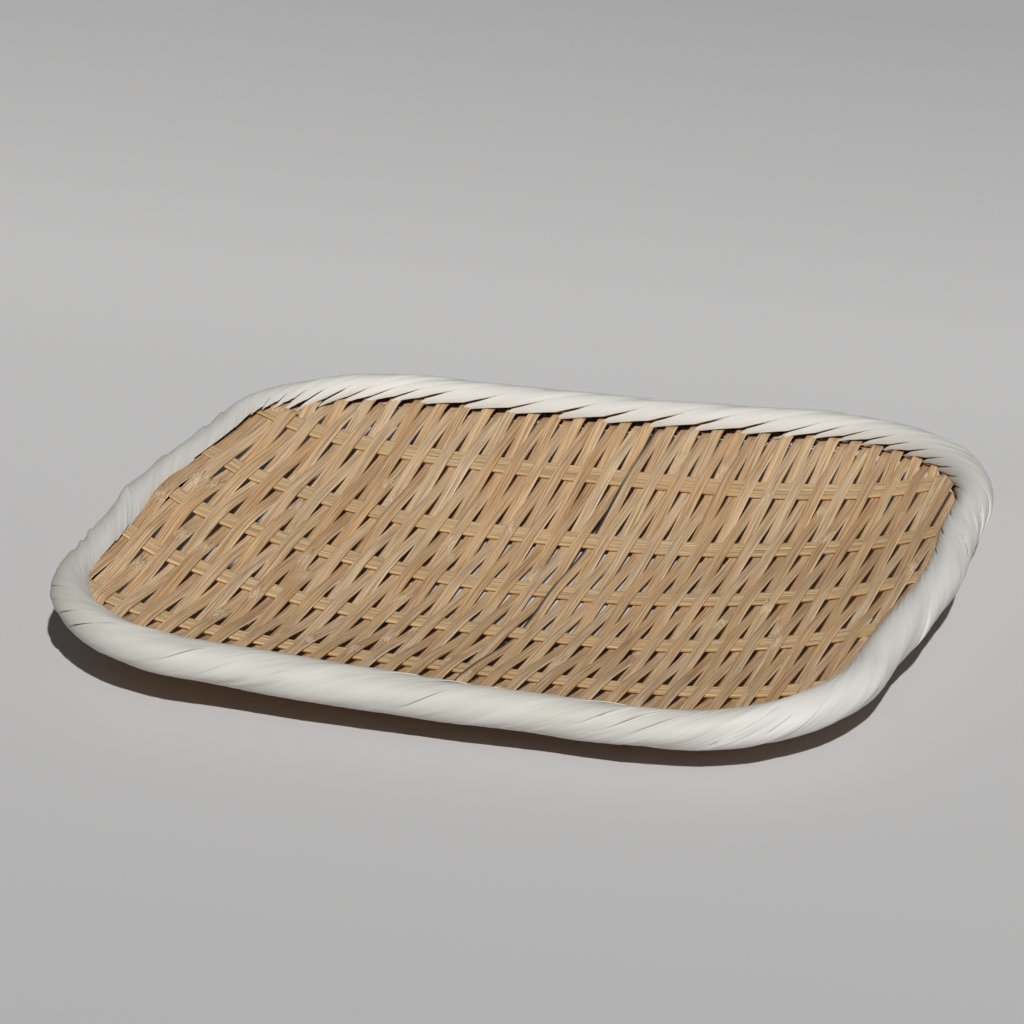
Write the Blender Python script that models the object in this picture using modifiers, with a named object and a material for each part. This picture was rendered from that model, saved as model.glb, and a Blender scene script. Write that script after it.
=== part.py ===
"""A shallow, nearly square bamboo tray of the zaru kind.

Narrow strips run front to back, over and under five double ribs that run left to right.
Each weaver is one strip turned back on itself at the front edge, so it makes two neighbouring
rows of the mat. The mat's edge lies in the slot between an upper and a lower hoop, and a
plastic band is wound round both hoops in slanting turns that overlap like shingles.

Metres. +X runs along the ribs, +Y to the back edge, +Z up. The origin is at the middle of the
tray on the surface that it rests on.
"""

import math

import bmesh
import bpy

# Rim, from above and from the side
LENGTH = 0.333
WIDTH = 0.320
RIM_THICKNESS = 0.0156
CORNER_RADIUS = 0.066
FAR_RIGHT_CORNER_RADIUS = 0.086
END_BOW = 0.0047
SIDE_BOW = 0.0004
END_RISE = 0.0046
CORNER_TWIST = 0.0035

# Mat
DISH_DEPTH = 0.0175
DISH_POWER = 1.65
DISH_FLAT_SHARE = 0.10
MAT_MARGIN = 0.0012
SEAT_GAP = 0.0004

# Weavers
WEAVER_WIDTH = 0.0045
WEAVER_THICKNESS = 0.0007
WEAVER_GAP = 0.00035
WEAVER_TUCK = 0.0025
TURN_SEGMENTS = 3

# Ribs, each of two strips side by side
RIB_COUNT = 5
RIB_SPACING = 0.051
RIB_SHIFT = 0.0023
RIB_STRIP_WIDTH = 0.0052
RIB_STRIP_GAP = 0.0006
RIB_THICKNESS = 0.0013
RIB_END_THICKNESS = 0.0008
RIB_TAPER_LENGTH = 0.012
RIB_TAPER_START = 0.003
RIB_TUCK = 0.0025
RIB_SHOULDER = 0.0006
ROWS_PER_STATION = 4

# Hoops
HOOP_RADIUS = 0.0055
SLOT_HEIGHT = 0.0050
SIDE_SLOT_DROP = 0.0022
END_SLOT_RISE = 0.0018
END_SLOT_CURL = 8
HOOP_ARC_POINTS = 5
HOOP_CORNER_SEGMENTS = 10
HOOP_SIDE_SEGMENTS = 4

# Band wound round the hoops
BAND_THICKNESS = 0.0007
BAND_STEP = 0.0006
BAND_EDGE_RUN = 0.0006
BAND_SLANT = 0.030
SIDE_TURN_SPACING = 0.0194
CORNER_TURN_SPACING = 0.0120
BAND_ARC_SEGMENTS = 8
LIP_STEPS = 5
SCALLOP_ANGLE = math.radians(16)

FINISHES = {
    "pale_bamboo": {"colour": (0.55, 0.36, 0.19, 1.0), "roughness": 0.55},
    "rib_bamboo": {"colour": (0.50, 0.31, 0.15, 1.0), "roughness": 0.5},
    "hoop_bamboo": {"colour": (0.30, 0.18, 0.09, 1.0), "roughness": 0.7},
    "band_white": {"colour": (0.80, 0.79, 0.74, 1.0), "roughness": 0.35},
}

UNIT = 1.0
WELD = 1e-6
QUARTER = math.pi / 2

rim_radius = RIM_THICKNESS / 2
rim_half_length = LENGTH / 2 - END_BOW - rim_radius
rim_half_width = WIDTH / 2 - SIDE_BOW - rim_radius
mat_half_length = rim_half_length + END_BOW - rim_radius
mat_half_width = rim_half_width + SIDE_BOW - rim_radius
dish_half_length = mat_half_length - MAT_MARGIN
dish_half_width = mat_half_width - MAT_MARGIN
weaver_pitch = WEAVER_WIDTH + WEAVER_GAP
weaver_pairs = int((mat_half_length - SEAT_GAP) / weaver_pitch)
rib_half_width = RIB_STRIP_WIDTH + RIB_STRIP_GAP / 2
shoulder_reach = rib_half_width + RIB_SHOULDER
turn_reach = (weaver_pitch + WEAVER_WIDTH) / 2
slot_rise = RIB_END_THICKNESS / 2 + WEAVER_THICKNESS / 2 + SEAT_GAP
band_inner_radius = rim_radius - BAND_STEP - BAND_THICKNESS
mat_reach = RIB_THICKNESS / 2 + WEAVER_THICKNESS + SEAT_GAP
rim_height = mat_reach + DISH_DEPTH


def corner_radius_at(x, y):
    """The far right corner is drawn wider than the other three."""
    return FAR_RIGHT_CORNER_RADIUS if x > 0 and y > 0 else CORNER_RADIUS


def bow_at(along, straight_half, bow):
    """How far a side stands out of the rectangle: most in its middle, nothing at its corners."""
    if abs(along) >= straight_half:
        return 0.0
    return bow * math.cos(QUARTER * along / straight_half) ** 2


def edge_reach_y(x, inset, side):
    """y on the front (side -1) or back (+1) edge at x, this far in from the rim's centre line."""
    radius = corner_radius_at(x, side)
    into_corner = abs(x) - (rim_half_length - radius)
    if into_corner <= 0:
        return side * (rim_half_width + bow_at(x, rim_half_length - radius, SIDE_BOW) - inset)
    arc = max(radius - inset, 0.0) ** 2 - into_corner**2
    return side * (rim_half_width - radius + math.sqrt(arc)) if arc > 0 else None


def edge_reach_x(y, inset, side):
    """x on the left (side -1) or right (+1) edge at y, this far in from the rim's centre line."""
    radius = corner_radius_at(side, y)
    into_corner = abs(y) - (rim_half_width - radius)
    if into_corner <= 0:
        return side * (rim_half_length + bow_at(y, rim_half_width - radius, END_BOW) - inset)
    arc = max(radius - inset, 0.0) ** 2 - into_corner**2
    return side * (rim_half_length - radius + math.sqrt(arc)) if arc > 0 else None


def end_inset(x, y):
    """How far a point lies in from the centre line of the left or right end of the rim."""
    reach = edge_reach_x(y, 0.0, 1 if x > 0 else -1)
    return abs(reach) - abs(x) if reach is not None else 0.0


def rim_rise(x, y):
    """The rim isn't flat: both ends curl up, and two opposite corners stand higher."""
    along = x / dish_half_length
    across = y / dish_half_width
    return END_RISE * along**2 + CORNER_TWIST * along * across


def slot_shift(x, y):
    """The mat's edge lies below the middle of the rim along the front and back, and curls up
    above it at both ends."""
    along = min(abs(x) / dish_half_length, 1.0)
    across = min(abs(y) / dish_half_width, 1.0)
    return END_SLOT_RISE * along**END_SLOT_CURL - SIDE_SLOT_DROP * across**2


def mat_squareness(x, y):
    """Exponent of the superellipse that runs along the rim's inner wall in this quarter."""
    radius = corner_radius_at(x, y)
    corner_reach = (radius - rim_radius - MAT_MARGIN) / math.sqrt(2)
    x_share = (rim_half_length - radius + corner_reach) / dish_half_length
    y_share = (rim_half_width - radius + corner_reach) / dish_half_width
    return math.log(0.5) / math.log((x_share + y_share) / 2)


def mat_height(x, y):
    """Middle surface of the mat: a dish, flat where it rests, that meets the rim's slot."""
    power = mat_squareness(x, y)
    x_share = abs(x) / dish_half_length
    y_share = abs(y) / dish_half_width
    outward = (x_share**power + y_share**power) ** (1 / power)
    climb = min(max((outward - DISH_FLAT_SHARE) / (1 - DISH_FLAT_SHARE), 0.0), 1.0)
    edge_rise = DISH_DEPTH + rim_rise(x, y) + slot_shift(x, y)
    return mat_reach + edge_rise * climb**DISH_POWER


def rib_centre(row):
    """y of a rib's middle, row 0 at the back."""
    return RIB_SHIFT + ((RIB_COUNT - 1) / 2 - row) * RIB_SPACING


def rib_thickness_at(x, y):
    """Ribs are pared thin before they enter the rim."""
    past = end_inset(x, y) - rim_radius - RIB_TAPER_START
    share = min(max(past / RIB_TAPER_LENGTH, 0.0), 1.0)
    return RIB_END_THICKNESS + (RIB_THICKNESS - RIB_END_THICKNESS) * share


def crossing_rise(x, y):
    """Height between the middle of a rib and the middle of a weaver that crosses it."""
    return rib_thickness_at(x, y) / 2 + WEAVER_THICKNESS / 2 + SEAT_GAP


def make_material(name):
    finish = FINISHES[name]
    material = bpy.data.materials.new(name)
    material.use_nodes = True
    shader = material.node_tree.nodes["Principled BSDF"]
    shader.inputs["Base Color"].default_value = finish["colour"]
    shader.inputs["Roughness"].default_value = finish["roughness"]
    shader.inputs["Metallic"].default_value = 0.0
    material.diffuse_color = finish["colour"]
    return material


def shaped_grid(name, along, across, place, material):
    """A grid of along by across faces whose corner (i, j) lies at place(i, j). Edges that
    place puts on each other are joined, which closes a tube or a ring."""
    grid = bmesh.new()
    bmesh.ops.create_grid(grid, x_segments=along, y_segments=across, size=UNIT)
    for corner in grid.verts:
        i = round((corner.co.x / UNIT + 1) / 2 * along)
        j = round((corner.co.y / UNIT + 1) / 2 * across)
        corner.co = place(i, j)
    bmesh.ops.remove_doubles(grid, verts=grid.verts, dist=WELD)
    bmesh.ops.recalc_face_normals(grid, faces=grid.faces)
    mesh = bpy.data.meshes.new(name)
    grid.to_mesh(mesh)
    grid.free()
    mesh.materials.append(material)
    piece = bpy.data.objects.new(name, mesh)
    tray.objects.link(piece)
    piece.parent = tray_origin
    return piece


def thicken(piece, thickness, group=None):
    """Turns a sheet into a strip of this thickness, half of it on each side."""
    modifier = piece.modifiers.new("Thickness", "SOLIDIFY")
    modifier.thickness = thickness
    modifier.offset = 0.0
    if group:
        modifier.vertex_group = group
        modifier.thickness_vertex_group = 0.0


def clear_of_ribs(y, side):
    """y of an end at the front (side -1) or back (+1), drawn in when it would lie on a rib."""
    for row in range(RIB_COUNT):
        if abs(y - rib_centre(row)) < shoulder_reach:
            return rib_centre(row) - side * shoulder_reach
    return y


def wall_y(xs, side):
    """y where a row goes into the rim at the front or the back, if it meets a wall there."""
    walls = [edge_reach_y(x, rim_radius, side) for x in xs]
    return None if None in walls else side * min(abs(y) for y in walls)


def leg_stations(xs, back_y, front_y, over_first):
    """(y, rise over the mat's middle) along one row of the mat, from the back to the front."""
    ways = [1 if (row % 2 == 0) == over_first else -1 for row in range(RIB_COUNT)]
    crossed = [row for row in range(RIB_COUNT) if front_y < rib_centre(row) < back_y]
    first, last = crossed[0], crossed[-1]
    stations = [(back_y, ways[first] * slot_rise)]
    back_wall = wall_y(xs, 1)
    if back_wall and back_wall > rib_centre(first) + shoulder_reach + RIB_SHOULDER:
        stations.append((back_wall, ways[first] * slot_rise))
    for row in crossed:
        for y in (rib_centre(row) + shoulder_reach, rib_centre(row) - shoulder_reach):
            rise = max(crossing_rise(x, y) for x in xs)
            stations.append((y, ways[row] * rise))
    front_wall = wall_y(xs, -1)
    if front_wall and front_wall < rib_centre(last) - shoulder_reach - RIB_SHOULDER:
        stations.append((front_wall, ways[last] * slot_rise))
    stations.append((front_y, ways[last] * slot_rise))
    return stations


def weaver_rails(middle_x):
    """Outer and inner rail of a turned-back strip, as lists of (x, y, rise). Its left row
    starts over the ribs at the back, and its right row under them."""
    tip_y = edge_reach_y(middle_x, turn_reach - WEAVER_TUCK, -1) - turn_reach
    front_y = clear_of_ribs(tip_y, -1) + turn_reach
    reaches = (turn_reach, WEAVER_GAP / 2)
    legs = []
    for hand in (-1, 1):
        xs = [middle_x + hand * reach for reach in reaches]
        ends = [edge_reach_y(x, -WEAVER_TUCK, 1) for x in xs]
        back_y = clear_of_ribs(min(ends), 1)
        legs.append((xs, leg_stations(xs, back_y, front_y, hand < 0)))
    rails = []
    for edge, reach in enumerate(reaches):
        (left_xs, left), (right_xs, right) = legs
        rail = [(left_xs[edge], y, rise) for y, rise in left]
        for step in range(1, TURN_SEGMENTS):
            angle = math.pi * step / TURN_SEGMENTS
            x = middle_x - reach * math.cos(angle)
            rail.append((x, front_y - reach * math.sin(angle), left[-1][1] * math.cos(angle)))
        rail += [(right_xs[edge], y, rise) for y, rise in reversed(right)]
        rails.append(rail)
    return rails


def make_weaver(number):
    rails = weaver_rails((number - (weaver_pairs - 1) / 2) * 2 * weaver_pitch)

    def place(i, j):
        x, y, rise = rails[j][i]
        return (x, y, mat_height(x, y) + rise)

    strip = shaped_grid(f"weaver_{number + 1:02d}", len(rails[0]) - 1, 1, place, pale_bamboo)
    thicken(strip, WEAVER_THICKNESS)


def rib_rails(rails_y):
    """x of each station along a rib strip, for both of its edges. The ends follow the rim, and
    the stations between them lie under every few weavers."""
    taper_start = rim_radius + RIB_TAPER_START
    insets = [-RIB_TUCK, rim_radius - RIB_TAPER_START, rim_radius, taper_start]
    insets.append(taper_start + RIB_TAPER_LENGTH)
    left = [[edge_reach_x(y, 0.0, -1) + inset for inset in insets] for y in rails_y]
    right = [[edge_reach_x(y, 0.0, 1) - inset for inset in reversed(insets)] for y in rails_y]
    low = max(rail[-1] for rail in left) + weaver_pitch / 2
    high = min(rail[0] for rail in right) - weaver_pitch / 2
    middles = [(row + 0.5 - weaver_pairs) * weaver_pitch for row in range(2 * weaver_pairs)]
    between = [x for x in middles[::ROWS_PER_STATION] if low < x < high]
    return [start + between + end for start, end in zip(left, right)]


def make_rib_strip(row, hand, label):
    """One of the two strips of a rib, on its near (hand -1) or far (+1) side."""
    inner = rib_centre(row) + hand * RIB_STRIP_GAP / 2
    outer = rib_centre(row) + hand * rib_half_width
    rails_y = (inner, outer)
    rails_x = rib_rails(rails_y)

    def place(i, j):
        x, y = rails_x[j][i], rails_y[j]
        return (x, y, mat_height(x, y))

    name = f"rib_{row + 1}_{label}"
    strip = shaped_grid(name, len(rails_x[0]) - 1, 1, place, rib_bamboo)
    group = strip.vertex_groups.new(name="Thickness")
    for vertex in strip.data.vertices:
        share = rib_thickness_at(vertex.co.x, vertex.co.y) / RIB_THICKNESS
        group.add([vertex.index], share, "REPLACE")
    thicken(strip, RIB_THICKNESS, group.name)


def rim_sections():
    """The rim's centre line as (length, kind, data) runs, anticlockwise seen from above, from
    where the front right corner meets the right end."""
    runs = []
    corners = ((1, 1), (-1, 1), (-1, -1), (1, -1))
    for number, (sx, sy) in enumerate(corners):
        before_x, before_y = corners[number - 1]
        radius = corner_radius_at(sx, sy)
        radius_before = corner_radius_at(before_x, before_y)
        if number % 2 == 0:
            start = before_y * (rim_half_width - radius_before)
            end = sy * (rim_half_width - radius)
            runs.append((abs(end - start), "end", (sx, start, end)))
        else:
            start = before_x * (rim_half_length - radius_before)
            end = sx * (rim_half_length - radius)
            runs.append((abs(end - start), "side", (sy, start, end)))
        centre = (sx * (rim_half_length - radius), sy * (rim_half_width - radius))
        runs.append((QUARTER * radius, "corner", (centre, radius, number * QUARTER)))
    return runs


def rim_at(distance):
    """Point and outward direction on the rim's centre line, this far along it."""
    distance %= rim_length
    for length, kind, data in rim_runs:
        if distance <= length:
            break
        distance -= length
    share = min(distance / length, 1.0)
    if kind == "corner":
        (cx, cy), radius, start = data
        angle = start + QUARTER * share
        return cx + radius * math.cos(angle), cy + radius * math.sin(angle), angle
    side, start, end = data
    along = start + (end - start) * share
    reach = edge_reach_x if kind == "end" else edge_reach_y
    out = reach(along, 0.0, side)
    bow = END_BOW if kind == "end" else SIDE_BOW
    if kind == "end":
        straight = rim_half_width - corner_radius_at(side, along)
    else:
        straight = rim_half_length - corner_radius_at(along, side)
    lean = bow * math.sin(math.pi * along / straight) * QUARTER / straight
    if kind == "end":
        return out, along, (0.0 if side > 0 else math.pi) + side * lean
    return along, out, side * QUARTER - side * lean


def rim_point(distance, angle, radius):
    """A point on the rim's round section: angle 0 faces the mat and a quarter turn faces up."""
    x, y, outward = rim_at(distance)
    height = rim_height + rim_rise(x, y) + radius * math.sin(angle)
    reach = -radius * math.cos(angle)
    return (x + reach * math.cos(outward), y + reach * math.sin(outward), height)


def slot_edge_angle(distance, way, radius):
    """Angle at which a round section of this radius meets the slot's upper (way +1) or lower
    (-1) side. The lower side stays down where the mat curls up."""
    x, y, _ = rim_at(distance)
    shift = slot_shift(x, y) if way > 0 else min(slot_shift(x, y), 0.0)
    return math.asin((SLOT_HEIGHT / 2 + way * shift) / radius)


def hoop_stations():
    """Distances along the rim where a hoop has a section."""
    stations, start = [], 0.0
    for length, kind, _ in rim_runs:
        count = HOOP_CORNER_SEGMENTS if kind == "corner" else HOOP_SIDE_SEGMENTS
        stations += [start + length * step / count for step in range(count)]
        start += length
    return stations


def make_hoop(name, way):
    """A half-round hoop whose flat side faces the slot, above (way +1) or below (-1) it."""
    stations = hoop_stations()

    def place(i, j):
        distance = stations[i % len(stations)]
        edge = slot_edge_angle(distance, way, HOOP_RADIUS)
        step = (j % HOOP_ARC_POINTS) / (HOOP_ARC_POINTS - 1)
        angle = edge + (math.pi - 2 * edge) * step
        return rim_point(distance, way * angle, HOOP_RADIUS)

    shaped_grid(name, len(stations), HOOP_ARC_POINTS, place, hoop_bamboo)


def turn_starts():
    """Distances along the rim where the band's turns begin, closer together at the corners."""
    starts, begin = [], 0.0
    for length, kind, _ in rim_runs:
        spacing = CORNER_TURN_SPACING if kind == "corner" else SIDE_TURN_SPACING
        count = max(round(length / spacing), 1)
        starts += [begin + length * step / count for step in range(count)]
        begin += length
    return starts


def band_lips(distance):
    """Angles of the upper lip of a turn, and of the lower lip, which the slant sets back."""
    upper_lip = slot_edge_angle(distance, 1, band_inner_radius)
    lower_lip = 2 * math.pi - upper_lip
    for _ in range(LIP_STEPS):
        slant = BAND_SLANT * (lower_lip - upper_lip) / QUARTER
        lower_lip = 2 * math.pi - slot_edge_angle(distance - slant, -1, band_inner_radius)
    return upper_lip, lower_lip


def make_rim_wrap():
    """The band's turns as one shell, open towards the mat. Each turn rises along the rim to
    its free edge, steps down onto the next turn, and ends at the mat in a drawn-down tip."""
    starts = turn_starts()
    columns = []
    for number, start in enumerate(starts):
        following = starts[number + 1] if number + 1 < len(starts) else rim_length
        columns.append((start, rim_radius - BAND_STEP, SCALLOP_ANGLE))
        columns.append((following - BAND_EDGE_RUN, rim_radius, 0.0))
    rows = 2 * (BAND_ARC_SEGMENTS + 1)

    def place(i, j):
        distance, radius, scallop = columns[i % len(columns)]
        upper_lip, lower_lip = band_lips(distance)
        row = j % rows
        inside = row > BAND_ARC_SEGMENTS
        step = (rows - 1 - row if inside else row) / BAND_ARC_SEGMENTS
        if step < 0.5:
            angle = math.pi - (math.pi - upper_lip - scallop) * (1 - 2 * step)
        else:
            angle = math.pi + (lower_lip - math.pi) * (2 * step - 1)
        slant = BAND_SLANT * (angle - upper_lip) / QUARTER
        return rim_point(distance - slant, angle, band_inner_radius if inside else radius)

    wrap = shaped_grid("rim_wrap", len(columns), rows, place, band_white)
    split = wrap.modifiers.new("Split along the slant", "TRIANGULATE")
    split.quad_method = "SHORTEST_DIAGONAL"


for old in list(bpy.data.objects):
    bpy.data.objects.remove(old, do_unlink=True)


tray = bpy.data.collections.new("bamboo_tray")
bpy.context.scene.collection.children.link(tray)
tray_origin = bpy.data.objects.new("tray_origin", None)
tray.objects.link(tray_origin)

pale_bamboo = make_material("pale_bamboo")
rib_bamboo = make_material("rib_bamboo")
hoop_bamboo = make_material("hoop_bamboo")
band_white = make_material("band_white")

rim_runs = rim_sections()
rim_length = sum(length for length, _, _ in rim_runs)

for weaver_number in range(weaver_pairs):
    make_weaver(weaver_number)
for rib_row in range(RIB_COUNT):
    make_rib_strip(rib_row, 1, "far")
    make_rib_strip(rib_row, -1, "near")
make_hoop("upper_hoop", 1)
make_hoop("lower_hoop", -1)
make_rim_wrap()
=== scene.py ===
import math
import random

import bmesh
import bpy
from mathutils import Matrix, Vector, noise


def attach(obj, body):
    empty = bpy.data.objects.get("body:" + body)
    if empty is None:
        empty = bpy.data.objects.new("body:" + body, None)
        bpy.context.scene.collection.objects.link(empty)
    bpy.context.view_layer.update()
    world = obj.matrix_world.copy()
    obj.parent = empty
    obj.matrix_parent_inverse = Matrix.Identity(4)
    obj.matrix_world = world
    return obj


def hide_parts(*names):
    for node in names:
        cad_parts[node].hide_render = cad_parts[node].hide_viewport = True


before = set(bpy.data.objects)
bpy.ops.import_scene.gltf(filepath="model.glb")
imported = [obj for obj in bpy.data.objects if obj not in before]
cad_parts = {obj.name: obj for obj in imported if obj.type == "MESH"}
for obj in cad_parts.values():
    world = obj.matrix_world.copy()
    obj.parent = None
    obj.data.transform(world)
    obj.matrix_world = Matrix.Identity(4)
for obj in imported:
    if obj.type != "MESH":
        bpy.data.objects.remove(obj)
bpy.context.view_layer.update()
print("frame loaded:", len(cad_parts), "pieces")


# camera: in front of the tray and to its right, looking down on the mat
camera = {
    "turn": math.radians(-17.284),
    "lookDown": math.radians(21.409),
    "distance": 2.60338,
    "aimRight": 0.00976,
    "aimUp": -0.01453,
    "rimHeight": 0.01925,
    "lens": 237.95,
    "sensor": 36.0,
}


def makeCamera():
    turn, down = camera["turn"], camera["lookDown"]
    right = Vector((math.cos(turn), -math.sin(turn), 0))
    ahead = Vector((math.sin(turn) * math.cos(down), math.cos(turn) * math.cos(down), -math.sin(down)))
    up = right.cross(ahead)
    place = Vector((0, 0, camera["rimHeight"])) - camera["aimRight"] * right
    place -= camera["aimUp"] * up + camera["distance"] * ahead
    data = bpy.data.cameras.new("camera")
    data.lens = camera["lens"]
    data.sensor_width = camera["sensor"]
    view = bpy.data.objects.new("camera", data)
    view.matrix_world = Matrix.Translation(place) @ Matrix((right, up, -ahead)).transposed().to_4x4()
    bpy.context.scene.collection.objects.link(view)
    bpy.context.scene.camera = view


makeCamera()


# light: one lamp high at the front right, and an even, dim sky
light = {
    "from": math.radians(-66),
    "height": math.radians(42),
    "strength": 3.24,
    "angle": math.radians(1.2),
    "colour": (1.0, 0.99, 0.975),
    "sky": (1.0, 0.985, 0.965, 1),
    "skyStrength": 0.058,
}


def makeLight():
    lamp = bpy.data.lights.new("key", "SUN")
    lamp.energy = light["strength"]
    lamp.angle = light["angle"]
    lamp.color = light["colour"]
    key = bpy.data.objects.new("key", lamp)
    turn, height = light["from"], light["height"]
    flat = math.cos(height)
    toLamp = Vector((flat * math.cos(turn), flat * math.sin(turn), math.sin(height)))
    key.rotation_euler = toLamp.to_track_quat("Z", "Y").to_euler()
    bpy.context.scene.collection.objects.link(key)
    world = bpy.data.worlds.new("sky")
    world.use_nodes = True
    background = world.node_tree.nodes["Background"]
    background.inputs["Color"].default_value = light["sky"]
    background.inputs["Strength"].default_value = light["skyStrength"]
    bpy.context.scene.world = world
    bpy.context.scene.view_settings.view_transform = "Standard"


makeLight()
print("camera and light placed")


# shader helpers
def addNode(tree, kind, x, y, **settings):
    node = tree.nodes.new(kind)
    node.location = (x, y)
    for name, value in settings.items():
        setattr(node, name, value)
    return node


def setInputs(node, **values):
    for name, value in values.items():
        node.inputs[name.replace("_", " ")].default_value = value


def mathNode(tree, x, y, operation, first, second, clamp=False):
    node = addNode(tree, "ShaderNodeMath", x, y, operation=operation, use_clamp=clamp)
    for socket, value in zip(node.inputs, (first, second)):
        if isinstance(value, (int, float)):
            socket.default_value = value
        else:
            tree.links.new(value, socket)
    return node.outputs[0]


def mixColour(tree, x, y, share, first, second):
    node = addNode(tree, "ShaderNodeMix", x, y, data_type="RGBA")
    for socket, value in zip((node.inputs[0], node.inputs[6], node.inputs[7]), (share, first, second)):
        if hasattr(value, "is_output"):
            tree.links.new(value, socket)
        else:
            socket.default_value = value
    return node.outputs[2]


def rangeNode(tree, x, y, value, low, high, toLow=0.0, toHigh=1.0):
    node = addNode(tree, "ShaderNodeMapRange", x, y, clamp=True)
    tree.links.new(value, node.inputs["Value"])
    for name, number in (("From Min", low), ("From Max", high), ("To Min", toLow), ("To Max", toHigh)):
        node.inputs[name].default_value = number
    return node.outputs[0]


# noise drawn out along a strip
def stretchedNoise(tree, x, y, coord, scale, detail, roughness):
    mapped = addNode(tree, "ShaderNodeVectorMath", x, y, operation="MULTIPLY")
    tree.links.new(coord, mapped.inputs[0])
    mapped.inputs[1].default_value = scale
    texture = addNode(tree, "ShaderNodeTexNoise", x + 180, y)
    tree.links.new(mapped.outputs[0], texture.inputs["Vector"])
    setInputs(texture, Scale=1.0, Detail=detail, Roughness=roughness)
    return texture.outputs[0]


# bamboo fibre: streaks that run along a strip, from coordinates (across, along, strip) in metres;
# at a knot the fibres wave. Each noise has its scale along those coordinates, detail and roughness
grain = {
    "streak": ((1500, 16, 1), 3.0, 0.6),
    "dark": ((3300, 21, 1.7), 2.0, 0.5),
    "pale": ((3700, 17, 2.3), 2.0, 0.5),
    "cloud": ((130, 24, 1), 3.0, 0.55),
    "swirl": ((520, 330, 1), 2.0, 0.6),
    "swirlReach": 0.009,
    "streakRange": (0.34, 0.66),
    "darkRange": (0.50, 0.64),
    "paleRange": (0.53, 0.66),
    "cloudRange": (0.3, 0.7),
}


def makeFibreGroup():
    group = bpy.data.node_groups.new("bambooFibre", "ShaderNodeTree")
    group.interface.new_socket("Strip Place", in_out="INPUT", socket_type="NodeSocketVector")
    group.interface.new_socket("Knot", in_out="INPUT", socket_type="NodeSocketFloat")
    for name in ("Streak", "Dark Line", "Light Line", "Cloud", "Height"):
        group.interface.new_socket(name, in_out="OUTPUT", socket_type="NodeSocketFloat")
    start = addNode(group, "NodeGroupInput", -1500, 0)
    end = addNode(group, "NodeGroupOutput", 700, 0)
    plain = start.outputs["Strip Place"]
    swirl = stretchedNoise(group, -1300, -300, plain, *grain["swirl"])
    centred = mathNode(group, -1150, -300, "SUBTRACT", swirl, 0.5)
    wave = mathNode(group, -1000, -300, "MULTIPLY", centred, grain["swirlReach"])
    bend = addNode(group, "ShaderNodeCombineXYZ", -850, -300)
    group.links.new(mathNode(group, -950, -200, "MULTIPLY", wave, start.outputs["Knot"]), bend.inputs[0])
    warped = addNode(group, "ShaderNodeVectorMath", -700, 0, operation="ADD")
    group.links.new(plain, warped.inputs[0])
    group.links.new(bend.outputs[0], warped.inputs[1])
    coord = warped.outputs[0]
    streak = stretchedNoise(group, -500, 300, coord, *grain["streak"])
    dark = stretchedNoise(group, -500, 100, coord, *grain["dark"])
    pale = stretchedNoise(group, -500, -100, coord, *grain["pale"])
    cloud = stretchedNoise(group, -500, -300, plain, *grain["cloud"])
    streakMask = rangeNode(group, 0, 300, streak, *grain["streakRange"])
    darkMask = rangeNode(group, 0, 100, dark, *grain["darkRange"])
    paleMask = rangeNode(group, 0, -100, pale, *grain["paleRange"])
    cloudMask = rangeNode(group, 0, -300, cloud, *grain["cloudRange"])
    ridges = mathNode(group, 150, 200, "ADD", streakMask, paleMask)
    height = mathNode(group, 250, 100, "SUBTRACT", ridges, darkMask)
    for socket, value in zip(end.inputs, (streakMask, darkMask, paleMask, cloudMask, height)):
        group.links.new(value, socket)
    return group


fibreGroup = makeFibreGroup()

bamboo = {
    "weaver": {
        "pale": (0.94, 0.622, 0.335, 1),
        "mid": (0.75, 0.45, 0.213, 1),
        "deep": (0.36, 0.165, 0.055, 1),
        "light": (0.98, 0.82, 0.60, 1),
        "cool": (0.68, 0.47, 0.30, 1),
        "edge": (0.62, 0.39, 0.15, 1),
        # painted shade: the deep brown that downward faces take, standing in for the shade and warm bounce
        # under the mat
        "under": (0.56, 0.275, 0.09, 1),
        "stain": (0.06, 0.052, 0.055, 1),
        "darkShare": 0.72, "lightShare": 0.72, "coolShare": 0.35, "knotShare": 0.8,
        "toneReach": 0.32, "roughness": (0.36, 0.58), "bump": 0.00016,
    },
    "rib": {
        "pale": (0.84, 0.585, 0.325, 1),
        "mid": (0.66, 0.43, 0.21, 1),
        "deep": (0.34, 0.19, 0.08, 1),
        "light": (0.96, 0.77, 0.51, 1),
        "cool": (0.62, 0.45, 0.27, 1),
        "edge": (0.46, 0.30, 0.12, 1),
        # painted shade: the deep brown that downward faces take, standing in for the shade under the mat
        "under": (0.54, 0.285, 0.095, 1),
        "stain": (0.2, 0.13, 0.08, 1),
        "darkShare": 0.55, "lightShare": 0.62, "coolShare": 0.25, "knotShare": 0.5,
        "toneReach": 0.22, "roughness": (0.42, 0.6), "bump": 0.00014,
    },
    "hoop": {
        "pale": (0.52, 0.34, 0.17, 1),
        "mid": (0.42, 0.26, 0.12, 1),
        "deep": (0.25, 0.14, 0.06, 1),
        "light": (0.56, 0.39, 0.2, 1),
        "cool": (0.38, 0.25, 0.13, 1),
        "darkShare": 0.5, "lightShare": 0.3, "coolShare": 0.2,
        "roughness": (0.6, 0.8), "bump": 0.0001,
        "stretch": (0.05, 0.05, 1.0),
    },
}

# where a strip's edges take a golden and a paler colour, and where its downward faces take painted shade, a
# deep brown: the range read, then how much is mixed in
stripShade = {
    "goldenEdge": (0.84, 0.97, 0.0, 0.6),
    "brightEdge": (-0.82, -0.97, 0.0, 0.55),
    "paintedShadeUnderside": (0.1, -0.5, 0.0, 0.9),
}


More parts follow.
